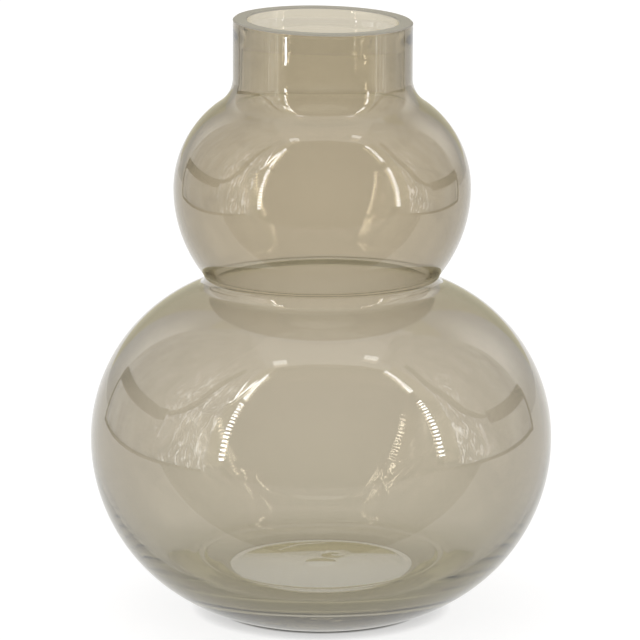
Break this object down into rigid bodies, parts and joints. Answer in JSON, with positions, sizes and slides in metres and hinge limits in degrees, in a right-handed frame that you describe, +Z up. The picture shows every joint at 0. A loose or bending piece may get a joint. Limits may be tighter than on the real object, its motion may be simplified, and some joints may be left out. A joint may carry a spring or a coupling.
{
  "type": "gourd vase",
  "caption": "Gourd-shaped vase of smoked clear glass with a short straight neck, a small bulb above an open waist, a larger bulb below and a thick base.",
  "frame": {"origin": "middle of the foot, on the surface that the vase stands on", "axes": "+Z up along the vase's axis of turning, -Y towards the viewer of the picture, +X to that viewer's right"},
  "size_m": [0.193, 0.193, 0.2508],
  "materials": {
    "smoked_glass": "fire-polished clear soda-lime glass with a translucent taupe smoke on its outside and a ground rim"
  },
  "bodies": {
    "root": {"glass_body": "smoked_glass"}
  },
  "joints": []
}
